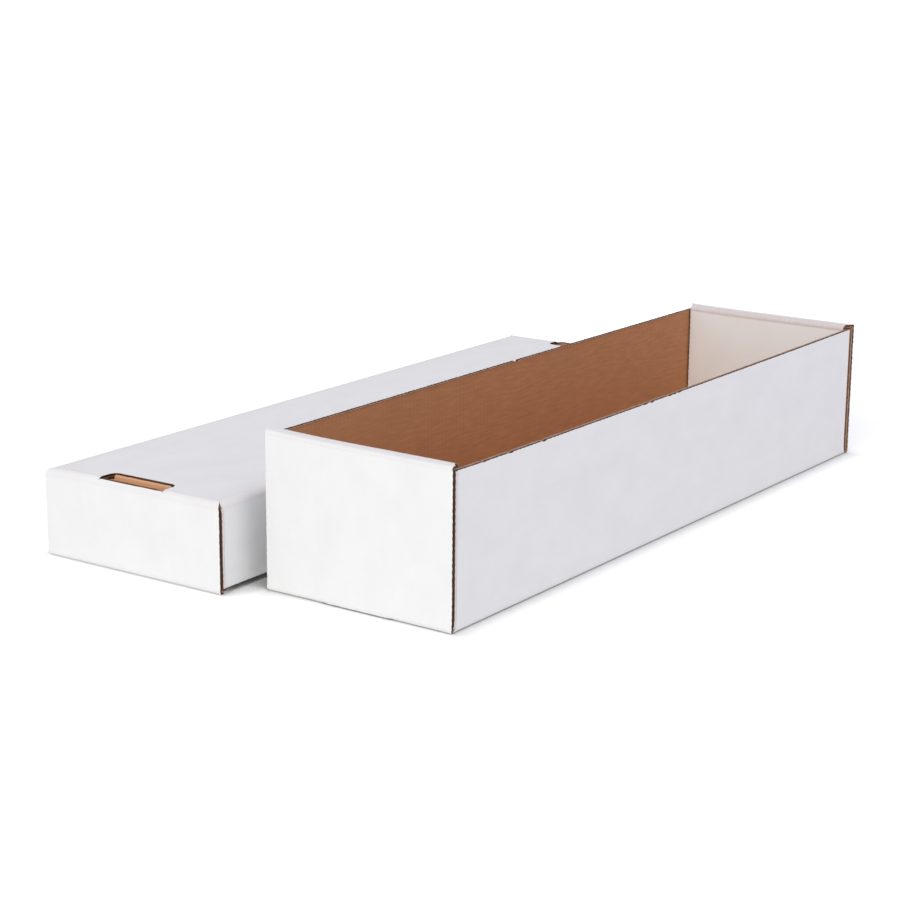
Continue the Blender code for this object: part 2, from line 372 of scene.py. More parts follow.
def kraft_liner_material(paper, board):
    """Unbleached paper, its fibres drawn out across the flutes, a little darker where each flute is glued,
    and lighter on the inner panels and tabs as painted light.
    """
    sheet = PaperMaterial("kraft_liner")
    streak = sheet.noise(sheet.stretched(0.12, 1), 700, detail=3, roughness=0.6, seed=5.0)
    cloud = sheet.noise(sheet.stretched(0.5, 1), 60, detail=3, seed=6.0)
    fibre = sheet.noise(sheet.stretched(0.3, 1), 2200, detail=2, seed=7.0)
    speck = sheet.noise(sheet.stretched(0.6, 1), 1300, detail=1, seed=8.0).within(0.68, 0.76)
    split = sheet.node("ShaderNodeSeparateXYZ", {}, {0: sheet.grain})
    across = Value(sheet, split.outputs[0])
    glue = (across * (2 * math.pi / board.pitch)).sine().within(0.35, 1.0)

    kraft = tuple(paper.kraft)
    colour = sheet.mixed(streak.within(0.3, 0.7), scaled_colour(0.84, kraft), scaled_colour(1.08, kraft))
    colour = sheet.mixed(cloud.within(0.3, 0.7) * 0.35, colour, scaled_colour(0.82, kraft))
    # Painted light: the inner panels and tabs take the lighter kraft
    colour = sheet.mixed(sheet.attribute("fresh") * 0.9, colour, tuple(paper.fresh_kraft))
    colour = sheet.mixed(glue * 0.07, colour, scaled_colour(0.6, kraft))
    colour = sheet.mixed(speck * 0.5, colour, scaled_colour(0.45, kraft))
    roughness = fibre.within(0.3, 0.7, 0.72, 0.88)
    return sheet.finish(colour, roughness, streak + fibre * 0.5 - glue * 0.3, 0.00006)


def shaded_medium_material(paper, board):
    """The coarser paper of the flutes, coloured far darker than it is, as painted shade for the hollows
    between the liners.
    """
    sheet = PaperMaterial("fluted_medium")
    streak = sheet.noise(sheet.stretched(0.3, 1), 900, detail=3, seed=9.0)
    medium = tuple(paper.medium)
    colour = sheet.mixed(streak.within(0.3, 0.7), scaled_colour(0.8, medium), scaled_colour(1.1, medium))
    return sheet.finish(colour, streak.within(0.3, 0.7, 0.8, 0.95), streak, 0.00006)


def cut_edge_material(paper, board):
    """Raw paper where the die went through: pale crushed fibres over darker ones, mixed by the edge attribute
    from a dark colour, painted shade for cuts in shadow, to a pale one, painted light for cuts that face the
    lamps.
    """
    sheet = PaperMaterial("cut_edge")
    place = sheet.value("ShaderNodeTexCoord", {}, output=3)
    fuzz = sheet.noise(place, 2600, detail=3, roughness=0.7, seed=10.0)
    patch = sheet.noise(place, 300, detail=2, seed=11.0)
    # Painted light and shade: the edge attribute mixes the cut from the dark colour to the pale one
    cut = sheet.mixed(sheet.attribute("edge"), tuple(paper.cut_patch_and_shade), tuple(paper.cut))
    colour = sheet.mixed(0.45 * fuzz.within(0.35, 0.65), cut, (0, 0, 0))
    colour = sheet.mixed(patch.within(0.4, 0.65) * 0.35, colour, tuple(paper.cut_patch_and_shade))
    return sheet.finish(colour, fuzz.within(0.3, 0.7, 0.85, 0.98), fuzz, 0.0001)


PAPERS = {
    "White Liner": white_liner_material,
    "Kraft Liner": kraft_liner_material,
    "Fluted Medium": shaded_medium_material,
    "Cut Edge": cut_edge_material,
}


def paper_materials(scene):
    """The four papers, made once."""
    made = {}
    for label, recipe in PAPERS.items():
        name = label.lower().replace(" ", "_")
        made[label] = bpy.data.materials.get(name) or recipe(scene.cardbox_paper, scene.cardbox_board)
    return made


# Board tree


BOARD_INPUTS = [
    ("Board Thickness", "NodeSocketFloat"),
    ("Liner Thickness", "NodeSocketFloat"),
    ("Medium Thickness", "NodeSocketFloat"),
    ("Flute Pitch", "NodeSocketFloat"),
    ("Print Through", "NodeSocketFloat"),
    ("Ragged Edge", "NodeSocketFloat"),
    ("Scallop", "NodeSocketFloat"),
    ("Medium Recess", "NodeSocketFloat"),
    ("Seed", "NodeSocketFloat"),
    ("White Liner", "NodeSocketMaterial"),
    ("Kraft Liner", "NodeSocketMaterial"),
    ("Kraft Back", "NodeSocketMaterial"),
    ("Fluted Medium", "NodeSocketMaterial"),
    ("Cut Edge", "NodeSocketMaterial"),
]


class BoardTree(Sheet):
    """Geometry Nodes that turn a board's outer face into liner, flutes and liner.

    Each point carries the way through the board (inward), its place across the flutes (across), how much
    of its thickness is left (squeeze), and at a cut edge the way out of the board (trim).
    """

    def __init__(self):
        tree = bpy.data.node_groups.new("fluted_board", "GeometryNodeTree")
        super().__init__(tree)
        tree.interface.new_socket("Geometry", in_out="INPUT", socket_type="NodeSocketGeometry")
        for name, kind in BOARD_INPUTS:
            tree.interface.new_socket(name, in_out="INPUT", socket_type=kind)
        tree.interface.new_socket("Geometry", in_out="OUTPUT", socket_type="NodeSocketGeometry")
        entry = self.node("NodeGroupInput")
        self.given = {socket.name: Value(self, socket) for socket in entry.outputs if socket.name}
        self.inward = self.stored("inward", "FLOAT_VECTOR")
        self.trim = self.stored("trim", "FLOAT_VECTOR")
        self.squeeze = self.stored("squeeze", "FLOAT")
        self.write()

    def stored(self, name, kind):
        return self.value("GeometryNodeInputNamedAttribute", {"data_type": kind}, {"Name": name})

    def write(self):
        given = self.given
        board, liner, medium = given["Board Thickness"], given["Liner Thickness"], given["Medium Thickness"]
        turn = self.stored("across", "FLOAT") * (2 * math.pi) / given["Flute Pitch"]
        wave = turn.sine()
        sunk = given["Print Through"]
        swing = (board - liner * 2 - medium) * 0.49
        scallop = given["Scallop"] * wave
        back = 0 - given["Medium Recess"]
        # The medium and the outer liner's back take the shaded medium, painted shade for the hollows between
        # the liners
        sheets = [
            (liner + sunk * (1 - wave) * 0.5, liner, scallop, 0, "White Liner", "Fluted Medium"),
            (board * 0.5 + medium * 0.5 - swing * wave, medium, back, 1, "Fluted Medium", "Fluted Medium"),
            (board - sunk * (1 + wave) * 0.5, liner, 0 - scallop, 2, "Kraft Back", "Kraft Liner"),
        ]
        join = self.node("GeometryNodeJoinGeometry")
        for depth, thickness, stand, order, face, other in sheets:
            made = self.paper_sheet(depth, thickness, stand, order, given[face], given[other])
            self.tree.links.new(made.socket, join.inputs[0])
        joined = Value(self, join.outputs[0])
        smooth = self.value("GeometryNodeSetShadeSmooth", {}, {0: joined, "Shade Smooth": True})
        angle = self.value("GeometryNodeInputMeshEdgeAngle")
        sockets = {0: smooth, "Selection": angle.above(math.radians(38)), "Shade Smooth": False}
        crisp = self.value("GeometryNodeSetShadeSmooth", {"domain": "EDGE"}, sockets)
        realized = self.value("GeometryNodeRealizeInstances", {}, {0: crisp})
        side = self.stored("cut_side", "BOOLEAN")
        sockets = {0: realized, "Selection": side, "Material": given["Cut Edge"]}
        finished = self.value("GeometryNodeSetMaterial", {}, sockets)
        self.node("NodeGroupOutput", {}, {0: finished})

    def paper_sheet(self, depth, thickness, stand, order, face, back):
        """One closed sheet of paper whose back lies at a depth, its face nearer to the outer side.

        At a cut edge it stands out of the board by a set amount, give or take the raggedness.
        """
        place = self.value("GeometryNodeInputPosition")
        stray = self.noise(place, 700, detail=2, seed=self.given["Seed"] + order * 10.0) - 0.5
        out = stray * self.given["Ragged Edge"] * 4 + stand
        down, outwards = self.scaled(self.inward, depth * self.squeeze), self.scaled(self.trim, out)
        offset = self.vector("ADD", down, outwards)
        skin = self.value("GeometryNodeSetPosition", {}, {0: self.given["Geometry"], "Offset": offset})
        sockets = {0: skin, "Offset Scale": thickness, "Individual": False}
        extrude = self.node("GeometryNodeExtrudeMesh", {"mode": "FACES"}, sockets)
        walls, top, side = (Value(self, output) for output in extrude.outputs)
        if order == 1:
            top, side = True, False
        walls = self.value("GeometryNodeSetMaterial", {}, {0: walls, "Selection": top, "Material": face})
        sockets = {0: walls, "Name": "cut_side", "Value": side}
        settings = {"data_type": "BOOLEAN", "domain": "FACE"}
        walls = self.value("GeometryNodeStoreNamedAttribute", settings, sockets)
        under = self.value("GeometryNodeFlipFaces", {}, {0: skin})
        under = self.value("GeometryNodeSetMaterial", {}, {0: under, "Material": back})
        join = self.node("GeometryNodeJoinGeometry")
        for part in (walls, under):
            self.tree.links.new(part.socket, join.inputs[0])
        joined = Value(self, join.outputs[0])
        return self.value("GeometryNodeMergeByDistance", {}, {0: joined, "Distance": 1e-6})


def board_tree():
    return bpy.data.node_groups.get("fluted_board") or BoardTree().tree


def made_board(scene, outer_face, liner, flutes, flute_side):
    """Runs the board tree on a panel's outer face and leaves the result as a plain mesh."""
    tree = board_tree()
    board = scene.cardbox_board
    papers = paper_materials(scene)
    values = {
        "Board Thickness": board.thickness,
        "Liner Thickness": liner,
        "Medium Thickness": board.medium,
        "Flute Pitch": board.pitch,
        "Print Through": board.print_through,
        "Ragged Edge": board.ragged,
        "Scallop": board.scallop,
        "Medium Recess": board.recess,
        "Seed": float(board.seed),
        **papers,
        "Fluted Medium": papers[flutes],
        "Kraft Back": papers[flute_side],
    }
    flutes = outer_face.modifiers.new("fluted_board", "NODES")
    flutes.node_group = tree
    for item in tree.interface.items_tree:
        if item.in_out == "INPUT" and item.name in values:
            flutes[item.identifier] = values[item.name]
    bpy.context.view_layer.update()
    graph = bpy.context.evaluated_depsgraph_get()
    mesh = bpy.data.meshes.new_from_object(
        outer_face.evaluated_get(graph), preserve_all_data_layers=True, depsgraph=graph
    )
    outer_face.modifiers.clear()
    outer_face.data = mesh
    for name in ("inward", "trim", "squeeze", "across", "cut_side"):
        if name in mesh.attributes:
            mesh.attributes.remove(mesh.attributes[name])
    if not mesh.polygons:
        raise RuntimeError(f"{outer_face.name}: the board tree made nothing")
    return outer_face


# Folded blank


def smooth(share):
    """A share from 0 to 1 that starts and ends gently."""
    return share * share * (3 - 2 * share)


class FoldedPath:
    """The board's outer face seen end on: straights, and quarter turns towards its inner side."""

    def __init__(self, corners, radii):
        """Runs from (0, 0) through the sharp corners given, and rounds each of them but the last."""
        self.pieces = []
        heading, done, place = Vector((1, 0)), 0.0, Vector((0, 0))
        for index, (corner, radius) in enumerate(zip(map(Vector, corners), [*radii, 0])):
            straight = (corner - place).length - radius
            self.pieces.append((done, place.copy(), heading.copy(), 0.0))
            place += heading * straight
            done += straight
            if radius:
                self.pieces.append((done, place.copy(), heading.copy(), radius))
                left = Vector((-heading.y, heading.x))
                place += (heading + left) * radius
                heading = left
                done += radius * math.pi / 2
        self.length = done

    def start_of(self, index):
        """The distance at which a straight begins, counting straights from 0."""
        return self.pieces[2 * index][0]

    def end_of(self, index):
        """The distance at which a straight ends."""
        return self.pieces[2 * index + 1][0] if 2 * index + 1 < len(self.pieces) else self.length

    def at(self, distance):
        """Point on the outer face and the way through the board, both in the path's own plane."""
        start, place, heading, radius = max(
            (piece for piece in self.pieces if piece[0] <= distance + WHOLE), key=lambda piece: piece[0]
        )
        left = Vector((-heading.y, heading.x))
        if not radius:
            return place + heading * (distance - start), left
        angle = (distance - start) / radius
        inward = left * math.cos(angle) - heading * math.sin(angle)
        return place + left * radius - inward * radius, inward

    def bend(self, distance, reach=BEND_REACH):
        """1 inside a crease, easing to 0 at some reach beyond it."""
        nearest = reach
        for start, _, _, radius in self.pieces:
            if radius:
                end = start + radius * math.pi / 2
                nearest = min(nearest, max(start - distance, distance - end, 0))
        return smooth(1 - nearest / reach)

    def crushed(self, distance, loss):
        """The share of its thickness that the board keeps here."""
        return 1 - loss * self.bend(distance)


class Tray:
    """One folded blank in its own coordinates: open side up, centred on its floor's outer face."""

    def __init__(self, name, board, blank):
        self.name = name
        self.board = board
        self.blank = blank
        if name == "base":
            self.radius = board.fold_radius
            self.foot_round = 0.3 * board.fold_radius
            self.loose = {-1: blank.loose_near, 1: blank.loose_far}
            self.lean = 0.0
            self.slot_play = blank.slot_play
        else:
            self.radius = self.foot_round = board.lid_fold_radius
            self.loose = {-1: blank.loose_lid, 1: blank.loose_lid}
            self.lean = blank.lid_lean
            self.slot_play = blank.lid_slot_play
        near, far = (Vector(self.joint(f"{name}_{end}_unroll")["pos_m"]) for end in ENDS)
        along = far - near
        self.length = along.length
        low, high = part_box(FLOOR_NODES[name])
        turned_over = near.z < (low.z + high.z) / 2
        self.height = high.z if turned_over else near.z
        root = (near + far) / 2
        root.z = high.z if turned_over else 0
        self.matrix = Matrix.Translation(root) @ Matrix.Rotation(math.atan2(along.y, along.x), 4, "Z")
        if turned_over:
            self.matrix @= Matrix.Rotation(math.pi, 4, "X")
        self.width = 2 * self.local_box(FLOOR_NODES[name])[1].y
        self.wall_top = self.local_box(f"{name}_side_wall_left")[1].z
        self.wall_end = self.local_box(f"{name}_side_wall_left")[1].x
        panel_low, panel_high = self.local_box(f"{name}_inner_panel_far")
        self.panel_foot = panel_low.z
        self.panel_side = panel_high.y
        tab_low, tab_high = self.local_box(f"{name}_locking_tab_far")
        self.tab_tip = tab_low.z
        self.tab_side = tab_high.y

        out, inside = self.length / 2, self.length / 2 - blank.roll_depth
        corners = [(out, 0), (out, self.height), (inside, self.height), (inside, self.tab_tip)]
        self.end_path = FoldedPath(corners, [self.radius, board.fold_radius, board.roll_fold_radius])
        self.side_path = FoldedPath([(self.width / 2, 0), (self.width / 2, self.wall_top)], [self.radius])
        sharp = board.flap_fold_radius
        flap_length = self.width / 2 - blank.flap_gap / 2
        self.flap_path = FoldedPath([(self.wall_end, 0), (self.wall_end, flap_length)], [sharp])

    @staticmethod
    def joint(name):
        found = [joint for joint in frame["joints"] if joint["name"] == name]
        if not found:
            raise RuntimeError(f"the frame has no joint named {name}")
        return found[0]

    def local_box(self, node):
        """A CAD node's box in the tray's own coordinates."""
        inverse = self.matrix.inverted()
        points = [inverse @ vertex.co for vertex in frame["nodes"][node].data.vertices]
        low, high = (Vector([pick(p[i] for p in points) for i in range(3)]) for pick in (min, max))
        return low, high

    def settled(self, point):
        """A point moved to where the blank has warped: all of it grows from nothing at the floor's face."""
        place, side = 2 * point.x / self.length, 2 * point.y / self.width
        up = point.z / self.height
        if self.name == "lid":
            rise = self.board.lid_rise * (1 - 0.55 * max(-side, 0) ** 6) * (1 - place) / 2 * (1 - up)
            return point - Vector((0, 0, rise))
        rise = self.board.left_rise * max(side, 0) ** 2 * (1 - max(place, 0) / 2)
        along = (1 - ((place + 0.25) / 1.25) ** 2) * (1 - place ** 12)
        sag = self.board.right_sag * max(-side, 0) ** 4 * along
        return point + Vector((0, 0, (rise - sag) * up))

    def pinch(self, height):
        """How tightly the corner is drawn together: fully at the floor, easing out above it."""
        share = min(max(1 - height / self.board.pinch_height, 0), 1)
        return share * share

    def drawn_out(self, where, height):
        """A point of a side wall's end, drawn towards the end wall near the floor."""
        near_end = min(max((abs(where.x) - self.wall_end) / DRAW_REACH + 1, 0), 1)
        out = abs(where.x) + self.board.pinch_draw * near_end * self.pinch(height)
        where.x = math.copysign(min(out, self.length / 2 - eased(height, self.radius)), where.x)
        return where

    def drawn_in(self, where):
        """A point near the base's far end, drawn back from it so that the roll's edge shows wide."""
        if self.name == "base":
            share = min(max((where.x - self.wall_end) / FAR_DRAW_REACH + 1, 0), 1)
            where.x -= self.blank.far_draw * smooth(share)
        return where

    def on_floor(self, across, along):
        return Vector((across, along, 0)), Vector((0, 0, 1))

    def on_end(self, across, along):
        point, inward = self.end_path.at(abs(across))
        end = math.copysign(1, across)
        if abs(across) > self.end_path.end_of(1):
            hanging = self.end_path.start_of(3)
            down = max(abs(across) - hanging, 0) / (self.end_path.length - hanging)
            loose = self.loose[int(end)] / self.blank.roll_depth
            point.x -= (self.length / 2 - point.x) * loose + self.lean * down
        return Vector((end * point.x, along, point.y)), Vector((end * inward.x, 0, inward.y))

    def on_side(self, across, along):
        point, inward = self.side_path.at(abs(along))
        side = math.copysign(1, along)
        where = self.drawn_in(self.drawn_out(Vector((across, side * point.x, point.y)), point.y))
        return where, Vector((0, side * inward.x, inward.y))

    def on_flap(self, across, along):
        point, inward = self.flap_path.at(abs(across))
        end, side = math.copysign(1, across), math.copysign(1, along)
        height = self.side_path.at(abs(along))[0].y
        where = Vector((end * point.x, side * (self.width / 2 - point.y), height))
        if point.y < self.radius:
            where = self.drawn_out(where, height)
        return self.drawn_in(where), Vector((end * inward.x, -side * inward.y, 0))

    def on_lip(self, across, along):
        """The end wall at the slot, where nothing creases it: it stands straight between the slot's ends."""
        curved, inward = self.on_end(across, along)
        end = math.copysign(1, across)
        height = self.radius + abs(across) - self.end_path.start_of(1)
        straight = Vector((end * self.length / 2, along, height))
        share = smooth(min((self.blank.slot_length / 2 - abs(along)) / LIP_EASE, 1))
        return curved.lerp(straight, share), inward.lerp(Vector((-end, 0, 0)), share).normalized()


def stations(start, end, pitch):
    """Places from start to end, the ones between lying on one grid that divides each flute."""
    step = pitch / STATIONS_PER_FLUTE
    first, last = math.floor(start / step) + 1, math.ceil(end / step) - 1
    inner = [index * step for index in range(first, last + 1)]
    return [start] + [s for s in inner if start + step / 4 < s < end - step / 4] + [end]


def rows(low, high, count):
    """Places along the flutes from low to high, with a narrow band at each edge."""
    inner = [low + EDGE_BAND + (high - low - 2 * EDGE_BAND) * i / count for i in range(count + 1)]
    return [low] + inner + [high]


def foot_rows(foot):
    """The closer rows at a corner's foot, where the board is drawn out."""
    return [foot + EDGE_BAND * i + FOOT_STEP * max(i - 1, 0) for i in range(7)]


def slot_rows(half):
    """Places along the flutes inside a slot or tab, closer towards its ends."""
    shares = (0, 0.2, 0.4, 0.6, 0.8, 0.85, 0.9, 0.95, 1)
    return [-half * share for share in reversed(shares[1:])] + [half * share for share in shares]


def eased(distance, radius):
    """How much a rounded corner takes away at a distance from where it ends."""
    if distance >= radius:
        return 0.0
    return radius - math.sqrt(max(radius * radius - (radius - distance) ** 2, 0))


class BoardPanel:
    """The outer face of one panel as a grid: stations across the flutes, rows along them."""

    def __init__(self, name, tray, place, columns, row_rule):
        self.name = name
        self.tray = tray
        self.place = place
        self.columns = columns
        self.row_rule = row_rule
        self.keep = lambda across, along: True
        self.patches = []
        self.cut_loss = tray.board.cut_crush
        # How pale the panel's cut edges are painted: low values give painted shade, high values give painted
        # light
        self.cut_light_and_shade = 0.3
        self.liner = tray.board.liner
        self.flutes = "Fluted Medium"
        self.flute_side = "Kraft Liner"
        # Share of painted light (the lighter liners) that this panel takes
        self.fresh = 0.0
        self.seam = lambda across, along: False
        self.fold = lambda across, along: 0.0
        self.squeeze = lambda across, along: 1.0

    def outer_face(self):
        """The panel's outer face as an object in world coordinates, with what the board tree reads."""
        surface = bmesh.new()
        layers = surface.verts.layers
        inward_layer = layers.float_vector.new("inward")
        layers.float_vector.new("trim")
        for name in ("across", "squeeze", "fold", "edge", "fresh"):
            layers.float.new(name)
        board_place = {}
        self.add_patch(surface, board_place, self.columns, self.row_rule, self.place)
        for columns, row_rule, place in self.patches:
            self.add_patch(surface, board_place, columns, row_rule, place)
        if self.patches:
            self.join_patches(surface, board_place)
        surface.normal_update()
        wrong = [face for face in surface.faces if face.normal.dot(face.verts[0][inward_layer]) > 0]
        bmesh.ops.reverse_faces(surface, faces=wrong)
        surface.normal_update()
        self.mark_cuts(surface, board_place)
        self.map_board(surface, board_place)
        mesh = bpy.data.meshes.new(self.name)
        surface.to_mesh(mesh)
        surface.free()
        panel = bpy.data.objects.new(self.name, mesh)
        bpy.context.scene.collection.objects.link(panel)
        return panel

    def add_patch(self, surface, board_place, columns, row_rule, place):
        layers = surface.verts.layers
        matrix = self.tray.matrix
        turn = matrix.to_3x3()
        grid = [[(s, t) for t in row_rule(s)] for s in columns]
        lattice = []
        for column in grid:
            line = []
            for across, along in column:
                point, inward = place(across, along)
                vert = surface.verts.new(matrix @ self.tray.settled(point))
                vert[layers.float_vector["inward"]] = turn @ inward
                vert[layers.float["across"]] = across
                vert[layers.float["squeeze"]] = self.squeeze(across, along)
                vert[layers.float["fold"]] = self.fold(across, along)
                vert[layers.float["fresh"]] = self.fresh
                board_place[vert] = (across, along)
                line.append(vert)
            lattice.append(line)
        for i in range(len(grid) - 1):
            for j in range(len(grid[0]) - 1):
                middle = [sum(grid[a][b][k] for a in (i, i + 1) for b in (j, j + 1)) / 4 for k in (0, 1)]
                if place != self.place or self.keep(*middle):
                    corners = [lattice[i][j], lattice[i + 1][j], lattice[i + 1][j + 1], lattice[i][j + 1]]
                    surface.faces.new(corners)
        for vert in [v for line in lattice for v in line if not v.link_faces]:
            del board_place[vert]
            surface.verts.remove(vert)

    @staticmethod
    def join_patches(surface, board_place):
        """Welds the points that two patches share."""
        found = bmesh.ops.find_doubles(surface, verts=surface.verts, dist=WHOLE)["targetmap"]
        for gone in found:
            board_place.pop(gone)
        bmesh.ops.weld_verts(surface, targetmap=found)

    def mark_cuts(self, surface, board_place):
        layers = surface.verts.layers
        trim_layer, edge_layer = layers.float_vector["trim"], layers.float["edge"]
        squeeze_layer = layers.float["squeeze"]
        for edge in surface.edges:
            if not edge.is_boundary or all(self.seam(*board_place[vert]) for vert in edge.verts):
                continue
            face = edge.link_faces[0]
            middle = (edge.verts[0].co + edge.verts[1].co) / 2
            out = (edge.verts[1].co - edge.verts[0].co).cross(face.normal).normalized()
            if out.dot(middle - face.calc_center_median()) < 0:
                out = -out
            for vert in edge.verts:
                vert[trim_layer] = vert[trim_layer] + out
                # The edge attribute carries the panel's painted light and shade for its cuts
                vert[edge_layer] = self.cut_light_and_shade
        for vert in surface.verts:
            if vert[trim_layer].length > 0:
                vert[trim_layer] = vert[trim_layer].normalized()
                vert[squeeze_layer] *= 1 - self.cut_loss

    def map_board(self, surface, board_place):
        shift = Vector((0.5, 0.3 if self.tray.name == "base" else 0.7))
        layer = surface.loops.layers.uv.new("UVMap")
        for face in surface.faces:
            for loop in face.loops:
                loop[layer].uv = shift + Vector(board_place[loop.vert])


def finished_panel(scene, panel, body, nodes):
    """Makes the panel's board and hangs it on its body in place of its CAD nodes."""
    made = made_board(scene, panel.outer_face(), panel.liner, panel.flutes, panel.flute_side)
    if isinstance(body, str):
        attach(made, body)
    else:
        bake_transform(made, *body)
    if nodes:
        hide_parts(*nodes)
    return made


def trays(scene):
    return [Tray(name, scene.cardbox_board, scene.cardbox_blank) for name in FLOOR_NODES]


# Panels


def floor_panel(tray):
    """The floor, with its two slots open towards the end creases."""
    blank = tray.blank
    slot_start = tray.length / 2 - blank.roll_depth - tray.slot_play
    reach = tray.end_path.end_of(0)
    side = tray.side_path.end_of(0)

    def slot_half(across):
        return blank.slot_length / 2 - eased(abs(across) - slot_start, blank.slot_radius)

    def row_rule(across):
        half = slot_half(max(abs(across), slot_start))
        outer = rows(half, side, 4)
        inner = [half * share for share in (-0.6, -0.2, 0.2, 0.6)]
        return [-t for t in reversed(outer)] + inner + outer

    grid = sorted(set(stations(-reach, -slot_start, tray.board.pitch) + stations(-slot_start, slot_start,
                  tray.board.pitch) + stations(slot_start, reach, tray.board.pitch)))
    panel = BoardPanel(FLOOR_NODES[tray.name], tray, tray.on_floor, grid, row_rule)
    panel.keep = lambda across, along: abs(across) < slot_start or abs(along) > slot_half(across) - WHOLE
    panel.seam = lambda across, along: abs(along) > side - WHOLE or abs(across) > reach - WHOLE
    crush = tray.board.crush
    panel.fold = lambda across, along: FOLD_TINT * max(
        tray.side_path.bend(abs(along)), tray.end_path.bend(abs(across))
    )
    panel.squeeze = lambda across, along: min(
        tray.side_path.crushed(abs(along), crush), tray.end_path.crushed(abs(across), crush)
    )
    return panel


NICKS = {
    "base_side_wall_right": (
        (-0.1694, 0.0003), (-0.1488, 0.0004), (-0.1227, 0.0005), (-0.0352, 0.0003), (-0.0287, 0.0005),
        (-0.0115, 0.0004), (-0.0076, 0.0003), (-0.0026, 0.0004),
    ),
    "base_side_wall_left": ((0.0045, 0.0007),),
}


def side_wall_panel(tray, side_name):
    """A side wall with the crease at its foot and the raw edge at its top."""
    side = SIDES[tray.name][side_name]
    path = tray.side_path
    foot, wall, top = path.end_of(0), path.start_of(1), path.length
    reach = tray.flap_path.end_of(0)
    steps = [foot + (wall - foot) * i / 5 for i in range(5)]
    flap_foot = wall + tray.blank.flap_foot
    name = f"{tray.name}_side_wall_{side_name}"
    nicks = NICKS.get(name, ())

    def row_rule(across):
        nick = sum(depth * max(1 - ((across - where) / NICK_REACH) ** 2, 0) for where, depth in nicks)
        up = steps + [wall, *foot_rows(flap_foot)] + rows(flap_foot + FOOT_END, top - nick, 6)[2:]
        return sorted(side * t for t in up)

    heel = stations(-tray.wall_end, -reach, tray.board.pitch)
    grid = sorted(set(heel + stations(-reach, reach, tray.board.pitch) + [-s for s in heel]))
    panel = BoardPanel(name, tray, tray.on_side, grid, row_rule)
    panel.cut_loss = -tray.board.top_swell
    # Painted highlight: the top cut is fully pale, and the inner liner's face towards the flutes takes the
    # cut colour, a lit line along the top
    panel.cut_light_and_shade = 1.0
    panel.flute_side = "Cut Edge"
    panel.keep = lambda across, along: abs(across) < reach or abs(along) < flap_foot
    panel.seam = lambda across, along: (
        abs(along) < foot + WHOLE or (abs(abs(across) - reach) < WHOLE and abs(along) > flap_foot - WHOLE)
    )
    panel.fold = lambda across, along: max(
        FOLD_TINT * path.bend(abs(along)), tray.flap_path.bend(abs(across), FLAP_BEND_REACH)
    )
    panel.squeeze = lambda across, along: min(
        path.crushed(abs(along), tray.board.crush), tray.flap_path.crushed(abs(across), tray.board.flap_crush)
    )
    return panel


def corner_flap_panel(tray, end_name, side_name):
    """A corner flap with the crease that joins it to its side wall."""
    end, side = ENDS[end_name], SIDES[tray.name][side_name]
    blank, path = tray.blank, tray.flap_path
    foot = tray.side_path.start_of(1) + blank.flap_foot
    top = tray.side_path.length
    start, tip = path.end_of(0), path.length
    root = path.start_of(1)

    def row_rule(across):
        gone = max(abs(across) - root, 0) / (tip - root) * blank.flap_taper
        gone += eased(tip - abs(across), blank.flap_radius)
        upper = rows(foot + FOOT_END, top - gone, 3)[2:]
        lower = [t + gone * (1 - i / 6) for i, t in enumerate(foot_rows(foot))]
        return sorted(side * t for t in lower + upper)

    grid = [end * s for s in stations(start, tip, tray.board.pitch)]
    name = f"{tray.name}_corner_flap_{end_name}_{side_name}"
    panel = BoardPanel(name, tray, tray.on_flap, sorted(grid), row_rule)
    panel.seam = lambda across, along: abs(across) < start + WHOLE
    panel.fold = lambda across, along: path.bend(abs(across), FLAP_BEND_REACH)
    panel.squeeze = lambda across, along: path.crushed(abs(across), tray.board.flap_crush)
    return panel


def end_run_panel(tray, name, end, start, stop, half_width, seams, slot=None):
    """A stretch of the rolled end, from one distance along the run to another."""
    path = tray.end_path

    def row_rule(across):
        half = half_width(abs(across))
        if slot is None:
            outer = rows(0.0, half, 5)[2:]
            return [-t for t in reversed(outer)] + [0.0] + outer
        outer = rows(slot, half, 4)
        return [-t for t in reversed(outer)] + slot_rows(slot)[1:-1] + outer

    grid = sorted(end * s for s in stations(start, stop, tray.board.pitch))
    panel = BoardPanel(name, tray, tray.on_end, grid, row_rule)
    panel.seam = lambda across, along: any(abs(abs(across) - s) < WHOLE for s in seams)
    panel.fold = lambda across, along: FOLD_TINT * path.bend(abs(across))

    def squeeze(across, along):
        height = path.at(abs(across))[0].y
        near_side = min(max((abs(along) - tray.width / 2) / PINCH_REACH + 1, 0), 1)
        drawn = 0.8 * tray.pinch(height) * near_side if abs(across) < path.end_of(1) else 0
        return path.crushed(abs(across), tray.board.crush) * (1 - drawn)

    panel.squeeze = squeeze
    return panel


class CARDBOX_OT_floors(Operator):
    """Adds the base's floor and the lid's top panel"""

    bl_idname = "cardbox.floors"
    bl_label = "Add Floor and Top Panel"
    bl_options = {"REGISTER", "UNDO"}

    def execute(self, context):
        for tray in trays(context.scene):
            panel = floor_panel(tray)
            finished_panel(context.scene, panel, tray.name, [panel.name])
        return {"FINISHED"}


class CARDBOX_OT_side_walls(Operator):
    """Adds the four side walls with the creases at their feet"""

    bl_idname = "cardbox.side_walls"
    bl_label = "Add Side Walls"
    bl_options = {"REGISTER", "UNDO"}

    def execute(self, context):
        for tray in trays(context.scene):
            for side_name in SIDES[tray.name]:
                panel = side_wall_panel(tray, side_name)
                finished_panel(context.scene, panel, tray.name, [panel.name])
        return {"FINISHED"}


class CARDBOX_OT_corner_flaps(Operator):
    """Adds the eight corner flaps that lie inside the rolled ends"""

    bl_idname = "cardbox.corner_flaps"
    bl_label = "Add Corner Flaps"
    bl_options = {"REGISTER", "UNDO"}

    def execute(self, context):
        for tray in trays(context.scene):
            for end_name in ENDS:
                for side_name in SIDES[tray.name]:
                    panel = corner_flap_panel(tray, end_name, side_name)
                    finished_panel(context.scene, panel, tray.name, [panel.name])
        return {"FINISHED"}


